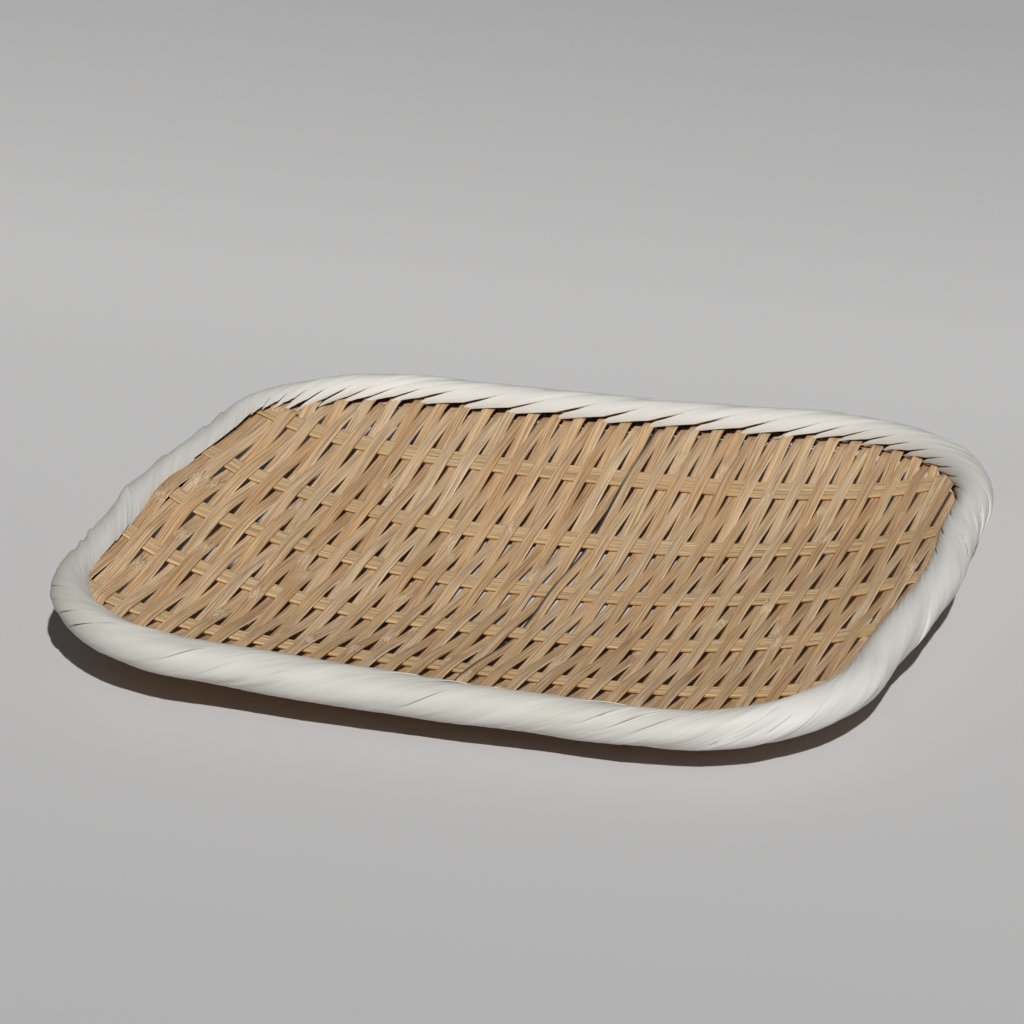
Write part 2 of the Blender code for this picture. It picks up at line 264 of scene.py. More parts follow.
# the woven strips carry their own places and marks; the hoops take theirs from the object
def makeBamboo(name, look, onStrip):
    material = bpy.data.materials.new(name)
    material.use_nodes = True
    tree = material.node_tree
    shader = tree.nodes["Principled BSDF"]
    shader.location = (1100, 0)
    fibre = addNode(tree, "ShaderNodeGroup", -500, 0, node_tree=fibreGroup)
    if onStrip:
        coord = addNode(tree, "ShaderNodeAttribute", -900, 100, attribute_name="stripPlace").outputs["Vector"]
        marks = addNode(tree, "ShaderNodeAttribute", -900, -150, attribute_name="stripMarks")
        split = addNode(tree, "ShaderNodeSeparateXYZ", -700, -150)
        tree.links.new(marks.outputs["Vector"], split.inputs[0])
        tone, edge, knot = split.outputs
        stain = addNode(tree, "ShaderNodeAttribute", -900, -350, attribute_name="stain").outputs["Fac"]
        tree.links.new(knot, fibre.inputs["Knot"])
    else:
        geometry = addNode(tree, "ShaderNodeTexCoord", -1100, 100)
        turned = addNode(tree, "ShaderNodeVectorMath", -900, 100, operation="MULTIPLY")
        tree.links.new(geometry.outputs["Object"], turned.inputs[0])
        turned.inputs[1].default_value = look["stretch"]
        coord = turned.outputs[0]
    tree.links.new(coord, fibre.inputs["Strip Place"])
    streak, dark, pale, cloud, height = fibre.outputs
    colour = mixColour(tree, -200, 200, streak, look["mid"], look["pale"])
    clouded = mathNode(tree, -150, 350, "MULTIPLY", cloud, look["coolShare"])
    colour = mixColour(tree, -50, 200, clouded, colour, look["cool"])
    if onStrip:
        shade = rangeNode(tree, 0, -200, tone, -1.0, 1.0, -look["toneReach"], look["toneReach"])
        darker = mathNode(tree, 150, -150, "MULTIPLY", shade, -1.0, clamp=True)
        paler = mathNode(tree, 150, -300, "MAXIMUM", shade, 0.0, clamp=True)
        colour = mixColour(tree, 250, 200, darker, colour, look["deep"])
        colour = mixColour(tree, 350, 200, paler, colour, look["light"])
    darkLine = mathNode(tree, 300, 350, "MULTIPLY", dark, look["darkShare"])
    colour = mixColour(tree, 450, 200, darkLine, colour, look["deep"])
    lightLine = mathNode(tree, 400, 350, "MULTIPLY", pale, look["lightShare"])
    colour = mixColour(tree, 550, 200, lightLine, colour, look["light"])
    if onStrip:
        golden = rangeNode(tree, 500, 0, edge, *stripShade["goldenEdge"])
        bright = rangeNode(tree, 500, -100, edge, *stripShade["brightEdge"])
        torn = mathNode(tree, 450, 450, "MULTIPLY", knot, streak)
        fresh = mathNode(tree, 550, 350, "MULTIPLY", torn, look["knotShare"])
        colour = mixColour(tree, 600, 200, fresh, colour, look["light"])
        colour = mixColour(tree, 650, 200, golden, colour, look["edge"])
        colour = mixColour(tree, 750, 200, bright, colour, look["light"])
        colour = mixColour(tree, 850, 200, stain, colour, look["stain"])
        # painted shade: faces that point downwards, seen through the gaps, are mixed towards the deep brown
        # under colour
        face = addNode(tree, "ShaderNodeTexCoord", 550, 500)
        facing = addNode(tree, "ShaderNodeSeparateXYZ", 700, 500)
        tree.links.new(face.outputs["Normal"], facing.inputs[0])
        under = rangeNode(tree, 850, 500, facing.outputs["Z"], *stripShade["paintedShadeUnderside"])
        colour = mixColour(tree, 950, 200, under, colour, look["under"])
    tree.links.new(colour, shader.inputs["Base Color"])
    low, high = look["roughness"]
    tree.links.new(rangeNode(tree, 800, -50, streak, 0.0, 1.0, high, low), shader.inputs["Roughness"])
    bump = addNode(tree, "ShaderNodeBump", 900, -250)
    tree.links.new(height, bump.inputs["Height"])
    setInputs(bump, Strength=1.0, Distance=look["bump"])
    tree.links.new(bump.outputs[0], shader.inputs["Normal"])
    setInputs(shader, Metallic=0.0)
    return material


weaverBamboo = makeBamboo("weaverBamboo", bamboo["weaver"], True)
ribBamboo = makeBamboo("ribBamboo", bamboo["rib"], True)
hoopBamboo = makeBamboo("hoopBamboo", bamboo["hoop"], False)

# the band's plastic: white with creamy blades and faint streaks; a painted shadow line, olive brown, along
# the seams, and painted shade in the blade tone along the front
band = {
    "white": (0.71, 0.70, 0.665, 1),
    "cream": (0.585, 0.57, 0.52, 1),
    # painted shadow: the olive brown laid in a thin line along the seams between blades
    "seam": (0.27, 0.22, 0.10, 1),
    "border": (0.74, 0.71, 0.58, 1),
    "roughness": (0.58, 0.7),
    "specular": 0.35,
    "bump": 0.00005,
    "streak": ((1500, 24, 1), 3.0, 0.55),
    "broad": ((110, 40, 1), 2.0, 0.5),
    "toneShare": 0.18,
    "creamRange": (0.35, 1.1),
    "faintRange": (0.52, 0.72, 0.0, 0.22),
    "roughRange": (0.3, 0.7),
}


def makeBandMaterial():
    material = bpy.data.materials.new("bandWhite")
    material.use_nodes = True
    tree = material.node_tree
    shader = tree.nodes["Principled BSDF"]
    shader.location = (900, 0)
    coord = addNode(tree, "ShaderNodeAttribute", -900, 100, attribute_name="stripPlace").outputs["Vector"]
    marks = addNode(tree, "ShaderNodeAttribute", -900, -150, attribute_name="stripMarks")
    split = addNode(tree, "ShaderNodeSeparateXYZ", -700, -150)
    tree.links.new(marks.outputs["Vector"], split.inputs[0])
    tone, seam, border = split.outputs
    streak = stretchedNoise(tree, -700, 300, coord, *band["streak"])
    broad = stretchedNoise(tree, -700, 500, coord, *band["broad"])
    bladeTone = mathNode(tree, -450, 300, "MULTIPLY", tone, band["toneShare"])
    toned = mathNode(tree, -350, 400, "ADD", broad, bladeTone)
    creamy = rangeNode(tree, -250, 350, toned, *band["creamRange"])
    colour = mixColour(tree, -100, 300, creamy, band["white"], band["cream"])
    faint = rangeNode(tree, -250, 150, streak, *band["faintRange"])
    colour = mixColour(tree, 100, 300, faint, colour, band["cream"])
    colour = mixColour(tree, 250, 300, border, colour, band["border"])
    # painted shadow: the olive-brown line along the seams
    colour = mixColour(tree, 400, 300, seam, colour, band["seam"])
    tree.links.new(colour, shader.inputs["Base Color"])
    low, high = band["roughness"]
    rough = rangeNode(tree, 500, 0, streak, *band["roughRange"], low, high)
    tree.links.new(rough, shader.inputs["Roughness"])
    shader.inputs["Specular IOR Level"].default_value = band["specular"]
    bump = addNode(tree, "ShaderNodeBump", 650, -250)
    tree.links.new(streak, bump.inputs["Height"])
    setInputs(bump, Strength=1.0, Distance=band["bump"])
    tree.links.new(bump.outputs[0], shader.inputs["Normal"])
    return material


bandMaterial = makeBandMaterial()
print("materials made")


# the tray's form, in the frame's metres
tray = {
    "length": 0.333, "width": 0.320, "rimRadius": 0.0078, "rimHeight": 0.01925,
    "cornerRadius": 0.066, "farRightRadius": 0.086,
    "endBow": 0.0047, "sideBow": 0.0004, "endRise": 0.0046, "cornerTwist": 0.0035,
    "dishDepth": 0.0175, "dishPower": 1.65, "flatShare": 0.10, "matMargin": 0.0012, "matReach": 0.00175,
    "slotHeight": 0.0050, "sideSlotDrop": 0.0022, "endSlotRise": 0.0018, "endSlotPower": 8,
    "leftCurl": 0.0021, "leftCurlRange": (0.136, 0.153),
}
quarter = math.pi / 2
halfLength = tray["length"] / 2 - tray["endBow"] - tray["rimRadius"]
halfWidth = tray["width"] / 2 - tray["sideBow"] - tray["rimRadius"]
dishHalfLength = halfLength + tray["endBow"] - tray["rimRadius"] - tray["matMargin"]
dishHalfWidth = halfWidth + tray["sideBow"] - tray["rimRadius"] - tray["matMargin"]


def cornerRadiusAt(x, y):
    return tray["farRightRadius"] if x > 0 and y > 0 else tray["cornerRadius"]


def bowAt(along, straightHalf, bow):
    if abs(along) >= straightHalf:
        return 0.0
    return bow * math.cos(quarter * along / straightHalf) ** 2


# the rim's middle line in plan, at one x on the front or back or at one y on an end, moved inwards
# by the inset
def edgeY(x, inset, side):
    radius = cornerRadiusAt(x, side)
    intoCorner = abs(x) - (halfLength - radius)
    if intoCorner <= 0:
        return side * (halfWidth + bowAt(x, halfLength - radius, tray["sideBow"]) - inset)
    arc = max(radius - inset, 0.0) ** 2 - intoCorner ** 2
    return side * (halfWidth - radius + math.sqrt(max(arc, 0.0)))


def edgeX(y, inset, side):
    radius = cornerRadiusAt(side, y)
    intoCorner = abs(y) - (halfWidth - radius)
    if intoCorner <= 0:
        return side * (halfLength + bowAt(y, halfWidth - radius, tray["endBow"]) - inset)
    arc = max(radius - inset, 0.0) ** 2 - intoCorner ** 2
    return side * (halfLength - radius + math.sqrt(max(arc, 0.0)))


# both ends stand higher, and so do two opposite corners
def rimRise(x, y):
    along, across = x / dishHalfLength, y / dishHalfWidth
    return tray["endRise"] * along ** 2 + tray["cornerTwist"] * along * across


# the mat's edge lies low in the rim at the front and back, and curls up at both ends
def slotShift(x, y):
    along, across = min(abs(x) / dishHalfLength, 1.0), min(abs(y) / dishHalfWidth, 1.0)
    return tray["endSlotRise"] * along ** tray["endSlotPower"] - tray["sideSlotDrop"] * across ** 2


# the power of the rounded square that the dish follows into each corner
def squarenessAt(x, y):
    radius = cornerRadiusAt(x, y)
    corner = (radius - tray["rimRadius"] - tray["matMargin"]) / math.sqrt(2)
    shares = (halfLength - radius + corner) / dishHalfLength + (halfWidth - radius + corner) / dishHalfWidth
    return math.log(0.5) / math.log(shares / 2)


squareness = {(sx, sy): squarenessAt(sx, sy) for sx in (False, True) for sy in (False, True)}


# height of the middle of the mat's thickness
def matHeight(x, y):
    power = squareness[(x > 0, y > 0)]
    outward = ((abs(x) / dishHalfLength) ** power + (abs(y) / dishHalfWidth) ** power) ** (1 / power)
    climb = min(max((outward - tray["flatShare"]) / (1 - tray["flatShare"]), 0.0), 1.0)
    curl = tray["leftCurl"] * smooth(-x, *tray["leftCurlRange"])
    edge = tray["dishDepth"] + rimRise(x, y) + slotShift(x, y)
    return tray["matReach"] + edge * climb ** tray["dishPower"] + curl


# smooth noise from about -1 to 1; a seed only picks which course it takes
seeds = {
    "apart": (7.31, 1.77),
    "waver": 0.3, "width": 50.6, "roll": 90.2, "lean": 33.3, "lift": 140.9, "tone": 200.1, "stain": 910.2,
    "ribWaver": 400.3, "ribLift": 500.9, "ribTone": 600.4, "ribOwnTone": 700.2,
    "rough": 811.3, "swell": 820.5, "pleat": 840.7, "jitter": 850.4, "bladeTone": 860.6,
    "kink": 870.9, "kinkPlace": 880.3,
}


def wobble(place, seed):
    apartY, apartZ = seeds["apart"]
    return noise.noise(Vector((place, seed * apartY, seed * apartZ)))


def smooth(value, low, high):
    share = min(max((value - low) / (high - low), 0.0), 1.0)
    return share * share * (3 - 2 * share)


# 1 between two ranges: it grows over the first and dies away over the second
def between(value, growth, decay):
    return smooth(value, *growth) * (1 - smooth(value, *decay))


# a shell gathers one piece's points and faces. Each point has its place on its strip, which the
# grain follows (across, along and which strip), its marks (tone, edge and knot, or tone, painted seam
# shadow and border) and a stain
def newShell():
    return {"points": [], "faces": [], "places": [], "marks": [], "stains": []}


def addPoint(shell, point, place, marks, stain=0.0):
    for key, value in (("points", point), ("places", place), ("marks", marks), ("stains", stain)):
        shell[key].append(value)


# a closed tube through sections that all have as many points
def addTube(shell, sections):
    first, count = len(shell["points"]), len(sections[0])
    for section in sections:
        for values in section:
            addPoint(shell, *values)
    for i in range(len(sections) - 1):
        for j in range(count):
            a, b = first + i * count + j, first + i * count + (j + 1) % count
            shell["faces"].append((a, b, b + count, a + count))
    last = first + (len(sections) - 1) * count
    shell["faces"].append(tuple(reversed(range(first, first + count))))
    shell["faces"].append(tuple(range(last, last + count)))


def makePiece(name, shell, material, closed=True):
    mesh = bpy.data.meshes.new(name)
    mesh.from_pydata(shell["points"], [], shell["faces"])
    for title, values in (("stripPlace", shell["places"]), ("stripMarks", shell["marks"])):
        attribute = mesh.attributes.new(title, "FLOAT_VECTOR", "POINT")
        attribute.data.foreach_set("vector", [number for value in values for number in value])
    attribute = mesh.attributes.new("stain", "FLOAT", "POINT")
    attribute.data.foreach_set("value", shell["stains"])
    mesh.shade_smooth()
    work = bmesh.new()
    work.from_mesh(mesh)
    if closed:
        bmesh.ops.recalc_face_normals(work, faces=work.faces)
    for edge in work.edges:
        edge.smooth = not edge.is_boundary  # an open border stays crisp
    work.to_mesh(mesh)
    work.free()
    mesh.materials.append(material)
    piece = bpy.data.objects.new(name, mesh)
    bpy.context.scene.collection.objects.link(piece)
    return piece


# ribs: "slides" says how far each has slid towards the front, at five places from the left end
ribs = {
    "count": 5, "spacing": 0.051, "shift": 0.0023, "stripWidth": 0.0052, "stripGap": 0.0006,
    "thickness": 0.0013, "endThickness": 0.0008, "taperLength": 0.012, "taperStart": 0.003,
    "tuck": 0.0025, "step": 0.004,
    "waver": 0.00022, "waverPace": 18, "liftShare": 0.5, "liftPace": 24,
    "tone": 0.8, "tonePace": 9, "edgeMark": 0.95,
    "sideGrain": 0.5, "grainStart": 900, "grainStep": 2.3,
    "slides": [
        (0.0005, 0.0003, 0.0003, 0.0005, 0.0008),
        (0.0070, 0.0050, 0.0020, 0.0002, 0.0025),
        (0.0038, 0.0018, 0.0, 0.0004, 0.0016),
        (0.0005, -0.0015, -0.0030, -0.0025, -0.0020),
        (0.0055, 0.0020, 0.0, 0.0, 0.0),
    ],
}
ribHalfWidth = ribs["stripWidth"] + ribs["stripGap"] / 2

# weavers: a pace says how quickly a wobble changes along a strip
weavers = {
    "pairs": 31, "width": 0.0045, "thickness": 0.0007, "gap": 0.00035, "tuck": 0.0025,
    "shoulder": 0.0006, "seatGap": 0.00038, "wallRise": 0.0012, "restHeight": 0.00003,
    "straightShare": 0.72, "sineShare": 0.28, "leastSwing": 1e-6,
    "step": 0.0032, "leastSteps": 8, "turnSteps": 8,
    "fan": 0.0026, "fanRange": (0.112, 0.148),
    "spread": 1.045, "edgeSpread": 0.2,
    "leftSpread": 0.05, "leftRows": (0, 26),
    "frontSpread": 0.03, "frontRange": (0.02, 0.12),
    "waver": 0.00014, "waverPace": 22,
    "widthChange": 0.05, "widthPace": 16,
    "roll": math.radians(5), "rollPace": 30, "rollShare": 1.6, "leanShare": 0.6,
    "lift": 0.0001, "liftPace": 25,
    "relief": 0.00005, "reliefPace": 45, "reliefByRow": 1.3, "reliefAcross": 2.9, "topFrom": 0.5,
    "calmBefore": 0.001, "calmAfter": 0.012,
    "tone": 0.8, "tonePace": 4, "grainStep": 3.1, "rowGrainStep": 0.37,
    "knotChance": 0.32, "knotShares": (0.015, 0.9), "knotMargin": 0.01,
    "knotLength": 0.0045, "knotSwell": 0.00042, "knotSpread": 0.05,
}
weaverPitch = weavers["width"] + weavers["gap"]

# the one stained strip: its row, where the stain lies across it, and how it varies and fades
stained = {"row": 32, "line": -0.78, "depth": 0.95, "change": 0.6, "pace": 34, "reach": 2.1, "fade": 0.22}

frays = {
    "count": 10, "length": (0.006, 0.014), "width": 0.00021, "height": 0.00072, "steps": 7,
    "spread": 0.4, "acrossShare": 0.75, "heightShares": (0.4, 1.0),
    "archEnds": (0.04, 0.96), "archPower": 0.7, "footShare": 0.35, "ridgeShare": 0.65,
    "sway": 0.08, "swayPace": 9,
    "tone": 0.9, "toneStep": 0.22, "edgeMark": -0.93,
    "grainWidth": 0.0002, "grainStart": 500, "rowGrainStep": 2.3, "grainStep": 1.7,
}


# a curve through evenly spaced values
def throughValues(values, share):
    place = min(max(share, 0.0), 1.0) * (len(values) - 1)
    low = min(int(place), len(values) - 2)
    t = place - low
    before, start, end, after = (values[min(max(low + k, 0), len(values) - 1)] for k in (-1, 0, 1, 2))
    leaving, arriving = (end - before) / 2, (after - start) / 2
    square = 3 * (end - start) - 2 * leaving - arriving
    cube = 2 * (start - end) + leaving + arriving
    return start + t * (leaving + t * (square + t * cube))


def ribY(row, x):
    slide = throughValues(ribs["slides"][row], x / tray["length"] + 0.5)
    return ribs["shift"] + ((ribs["count"] - 1) / 2 - row) * ribs["spacing"] - slide


def ribThickness(x, y):
    reach = edgeX(y, 0.0, 1 if x > 0 else -1)
    past = abs(reach) - abs(x) - tray["rimRadius"] - ribs["taperStart"]
    share = min(max(past / ribs["taperLength"], 0.0), 1.0)
    return ribs["endThickness"] + (ribs["thickness"] - ribs["endThickness"]) * share


# height of a weaver over the middle of the mat: level on the ribs, swinging over between them
def riseAt(x, y, way, wallY):
    shoulder = ribHalfWidth + weavers["shoulder"]
    stations = [(wallY[0], -way * weavers["wallRise"])]
    for row in range(ribs["count"]):
        middle = ribY(row, x)
        rise = ribThickness(x, middle) / 2 + weavers["thickness"] / 2 + weavers["seatGap"]
        rise *= way if row % 2 == 0 else -way
        stations += [(middle + hand * shoulder, rise) for hand in (1, -1) if wallY[1] < middle < wallY[0]]
    stations.append((wallY[1], -math.copysign(weavers["wallRise"], stations[-1][1])))
    if y >= stations[0][0]:
        return stations[0][1]
    for (y0, rise0), (y1, rise1) in zip(stations, stations[1:]):
        if y1 <= y <= y0:
            turn = 2 * (y0 - y) / max(y0 - y1, weavers["leastSwing"]) - 1
            swing = weavers["straightShare"] * turn + weavers["sineShare"] * math.sin(quarter * turn)
            eased = 0.5 + 0.5 * swing
            return rise0 + (rise1 - rise0) * eased
    return stations[-1][1]


# outline of a split strip's section, as shares of its half width and half thickness
weaverSection = [
    (-1.0, 0.2), (-0.93, 0.75), (-0.7, 1.0), (-0.45, 0.92), (-0.2, 1.08), (0.08, 0.94), (0.35, 1.08),
    (0.62, 0.94), (0.8, 1.0), (0.94, 0.75), (1.0, 0.2), (1.0, -0.4), (0.9, -0.95), (0.0, -1.0),
    (-0.9, -0.95), (-1.0, -0.4),
]
draw = random.Random(31)  # one source of chance, drawn from in the order of the weavers


# the outer rows bow outwards with the rim's ends
def fanned(x, y):
    straight = halfWidth - tray["cornerRadius"]
    bowed = math.cos(quarter * min(abs(y) / straight, 1.0)) ** 2
    return x + math.copysign(weavers["fan"] * bowed * smooth(abs(x), *weavers["fanRange"]), x)


# how a row of the mat strays from its plain course at one place
def strayAt(row, y, calm, knots):
    spread = weavers["spread"] + weavers["leftSpread"] * smooth(weavers["pairs"] - row, *weavers["leftRows"])
    spread += weavers["frontSpread"] * smooth(-y, *weavers["frontRange"])
    if row == 0:
        spread += weavers["edgeSpread"]
    change = 1 + weavers["widthChange"] * wobble(y * weavers["widthPace"], row + seeds["width"]) * calm
    rolled = weavers["rollShare"] * wobble(y * weavers["rollPace"], row + seeds["roll"])
    rolled += weavers["leanShare"] * wobble(0.0, row + seeds["lean"])
    return {
        "wander": weavers["waver"] * wobble(y * weavers["waverPace"], row + seeds["waver"]) * calm,
        "half": spread * weavers["width"] / 2 * change,
        "slope": math.tan(weavers["roll"] * rolled * calm),
        "lift": weavers["lift"] * wobble(y * weavers["liftPace"], row + seeds["lift"]) * calm,
        "knot": max((math.exp(-((y - place) / weavers["knotLength"]) ** 2) for place in knots), default=0.0),
    }


# a few frayed fibres that cross over a knot
def addFrays(shell, row, x, way, walls, place):
    strip = frays["grainStart"] + row * frays["rowGrainStep"]
    for n in range(frays["count"]):
        long = draw.uniform(*frays["length"])
        middle = place + draw.uniform(-frays["spread"], frays["spread"]) * long
        start = draw.uniform(-frays["acrossShare"], frays["acrossShare"])
        end = draw.uniform(-frays["acrossShare"], frays["acrossShare"])
        high = frays["height"] * draw.uniform(*frays["heightShares"])
        tone = frays["tone"] - n * frays["toneStep"]
        sections = []
        for step in range(frays["steps"]):
            share = step / (frays["steps"] - 1)
            y = middle + (share - 0.5) * long
            stray = strayAt(row, y, 1.0, [place])
            low, top = frays["archEnds"]
            arch = math.sin(math.pi * min(max(share, low), top)) ** frays["archPower"]
            swayed = share + frays["sway"] * math.sin(frays["swayPace"] * share + n)
            across = (start + (end - start) * swayed) * stray["half"]
            middleX = fanned(x, y) + stray["wander"] + across
            topZ = matHeight(middleX, y) + riseAt(x, y, way, walls) + stray["lift"]
            topZ += across * stray["slope"]
            topZ += weavers["thickness"] / 2
            section = []
            for side, up in ((-1, 0.0), (0, 1.0), (1, 0.0)):
                z = topZ + high * arch * (frays["footShare"] + frays["ridgeShare"] * up)
                point = (middleX + side * frays["width"] * arch, y, z)
                fibrePlace = (across + side * frays["grainWidth"], y, strip + n * frays["grainStep"])
                section.append((point, fibrePlace, (tone, frays["edgeMark"], 0.0), 0.0))
            sections.append(section)
        addTube(shell, sections)


# how dark the stain is, across and along its row
def stainAt(row, y, across):
    if row != stained["row"]:
        return 0.0
    depth = stained["depth"] + stained["change"] * wobble(y * stained["pace"], seeds["stain"])
    away = abs(across - stained["line"]) / stained["fade"]
    return min(max(depth, 0.0), 1.0) * min(max(0.0, stained["reach"] - away), 1.0)


# where a weaver's middle runs: along its first row to the front, round the turn and back along its
# second row, as (x, y, rise, turn, row); frays are added at the knots on the way
def weaverPath(number, shell):
    pairX = (number - (weavers["pairs"] - 1) / 2) * 2 * weaverPitch
    reach = weaverPitch / 2
    frontY = edgeY(pairX, reach + weavers["width"] / 2 - weavers["tuck"], -1)
    path, knotsOf = [], {}
    for hand in (-1, 1):
        x, row, way = pairX + hand * reach, 2 * number + (0 if hand < 0 else 1), -hand
        outerX = math.copysign(abs(x) + weavers["width"] / 2, x)
        backY = edgeY(outerX, -weavers["tuck"], 1)
        walls = (edgeY(x, tray["rimRadius"], 1), edgeY(x, tray["rimRadius"], -1))
        knotsOf[row] = []
        for half in (-1, 1):
            if draw.random() < weavers["knotChance"]:
                place = half * draw.uniform(*weavers["knotShares"]) * (backY - weavers["knotMargin"])
                knotsOf[row].append(place)
        for place in knotsOf[row]:
            addFrays(shell, row, x, way, walls, place)
        steps = max(int((backY - frontY) / weavers["step"]), weavers["leastSteps"])
        leg = []
        for step in range(steps + 1):
            y = backY + (frontY - backY) * step / steps
            leg.append((fanned(x, y), y, riseAt(x, y, way, walls), 0.0 if hand < 0 else math.pi, row))
        if hand > 0:
            leg.reverse()
            rise = path[-1][2]
            for step in range(1, weavers["turnSteps"]):
                angle = math.pi * step / weavers["turnSteps"]
                place = (pairX - reach * math.cos(angle), frontY - reach * math.sin(angle))
                path.append((*place, rise * math.cos(angle), angle, row))
        path += leg
    return path, knotsOf, frontY


def makeWeaver(number):
    shell = newShell()
    path, knotsOf, frontY = weaverPath(number, shell)
    travelled, last, sections = 0.0, None, []
    tones = {row: draw.uniform(-weavers["tone"], weavers["tone"]) for row in knotsOf}
    for x, y, rise, turn, row in path:
        middle = Vector((x, y, 0))
        travelled += (middle - last).length if last is not None else 0.0
        last = middle
        calm = smooth(y, frontY - weavers["calmBefore"], frontY + weavers["calmAfter"])
        stray = strayAt(row, y, calm, knotsOf[row])
        tone = tones[row] + weavers["tone"] * wobble(y * weavers["tonePace"], row + seeds["tone"])
        section = []
        for across, up in weaverSection:
            offset = across * stray["half"] * (1 + weavers["knotSpread"] * stray["knot"])
            px = x - math.cos(turn) * offset + stray["wander"]
            py = y - math.sin(turn) * offset
            high = up * weavers["thickness"] / 2
            if up > weavers["topFrom"]:
                course = row * weavers["reliefByRow"] + across * weavers["reliefAcross"]
                high += weavers["relief"] * wobble(y * weavers["reliefPace"], course)
                high += weavers["knotSwell"] * stray["knot"] * (1 - abs(across))
            z = matHeight(px, py) + rise + stray["lift"] + high + (px - x) * stray["slope"]
            point = (px, py, max(z, weavers["restHeight"]))
            strip = number * weavers["grainStep"] + row * weavers["rowGrainStep"]
            edge = across * math.cos(turn) * (1 if row % 3 else -1)
            stain = stainAt(row, y, (px - x) / stray["half"]) if up > 0 else 0.0
            section.append((point, (offset, travelled, strip), (tone, -edge, stray["knot"]), stain))
        sections.append(section)
    addTube(shell, sections)
    return shell


for number in range(weavers["pairs"]):
    nodeName = f"weaver_{number + 1:02d}"
    strip = makePiece(f"{nodeName}_strip", makeWeaver(number), weaverBamboo)
    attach(strip, "root")
    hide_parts(nodeName)
print("weavers made:", weavers["pairs"])


# each rib strip's section, with the strands that it is split into
ribSections = {
    "far": [
        (-1.0, 0.2), (-0.96, 0.85), (-0.8, 1.0), (-0.5, 0.96), (-0.4, 0.62), (-0.3, 1.0), (-0.05, 1.08),
        (0.14, 1.0), (0.22, 0.66), (0.32, 1.0), (0.6, 1.04), (0.88, 0.95), (0.98, 0.7), (1.0, 0.1),
        (1.0, -0.5), (0.9, -1.0), (0.0, -1.0), (-0.9, -1.0), (-1.0, -0.5),
    ],
    "near": [
        (-1.0, 0.0), (-0.98, 0.6), (-0.88, 0.92), (-0.7, 1.0), (-0.42, 1.08), (-0.12, 1.02), (-0.02, 0.7),
        (0.08, 1.0), (0.34, 1.06), (0.56, 1.0), (0.64, 0.66), (0.72, 1.0), (0.92, 0.9), (1.0, 0.4),
        (1.0, -0.5), (0.9, -1.0), (0.0, -1.0), (-0.88, -0.95), (-0.98, -0.5),
    ],
}


def makeRibStrip(row, label):
    shell, sections = newShell(), []
    hand = 1 if label == "far" else -1
    aside = hand * (ribs["stripGap"] + ribs["stripWidth"]) / 2
    half = ribs["stripWidth"] / 2
    seed = row * 2 + (label == "far")
    strip = ribs["grainStart"] + seed * ribs["grainStep"]
    ends = {}
    for side in (-1, 1):
        endY = ribY(row, side * dishHalfLength) + aside
        ends[side] = [edgeX(endY + s * half, -ribs["tuck"], side) for s in (-1, 1)]
    steps = int((max(ends[1]) - min(ends[-1])) / ribs["step"])
    for step in range(steps + 1):
        share = step / steps
        section = []
        for across, up in ribSections[label]:
            left, right = (a + (b - a) * (across + 1) / 2 for a, b in ends.values())
            x = left + (right - left) * share
            y = ribY(row, x) + aside + across * half
            thick = ribThickness(x, y) / 2
            sway = ribs["waver"] * wobble(x * ribs["waverPace"], seed + seeds["ribWaver"])
            lift = ribs["waver"] * ribs["liftShare"] * wobble(x * ribs["liftPace"], seed + seeds["ribLift"])
            z = matHeight(x, y) + up * thick + lift
            tone = ribs["tone"] * wobble(x * ribs["tonePace"], seed + seeds["ribTone"])
            tone += ribs["tone"] * wobble(0.0, seed + seeds["ribOwnTone"])
            place = (across * half + up * thick * ribs["sideGrain"], x, strip)
            section.append(((x, y + sway, z), place, (tone, -across * ribs["edgeMark"], 0.0), 0.0))
        sections.append(section)
    addTube(shell, sections)
    return shell


for row in range(ribs["count"]):
    for label in ("far", "near"):
        nodeName = f"rib_{row + 1}_{label}"
        strip = makePiece(f"{nodeName}_strip", makeRibStrip(row, label), ribBamboo)
        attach(strip, "root")
        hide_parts(nodeName)
print("ribs made:", ribs["count"] * 2)

# the hoops keep their own solids' shape, hidden in the band
for nodeName in ("upper_hoop", "lower_hoop"):
    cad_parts[nodeName].data.materials.clear()
    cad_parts[nodeName].data.materials.append(hoopBamboo)
print("hoops finished")


# the rim's line, anticlockwise from where the front right corner meets the right end
def rimRuns():
    runs = []
    corners = ((1, 1), (-1, 1), (-1, -1), (1, -1))
    for number, (sx, sy) in enumerate(corners):
        beforeX, beforeY = corners[number - 1]
        radius, before = cornerRadiusAt(sx, sy), cornerRadiusAt(beforeX, beforeY)
        if number % 2 == 0:
            start, end = beforeY * (halfWidth - before), sy * (halfWidth - radius)
            runs.append((abs(end - start), "end", (sx, start, end)))
        else:
            start, end = beforeX * (halfLength - before), sx * (halfLength - radius)
            runs.append((abs(end - start), "side", (sy, start, end)))
        middle = (sx * (halfLength - radius), sy * (halfWidth - radius))
        runs.append((quarter * radius, "corner", (middle, radius, number * quarter)))
    return runs


runs = rimRuns()
rimLength = sum(length for length, _, _ in runs)


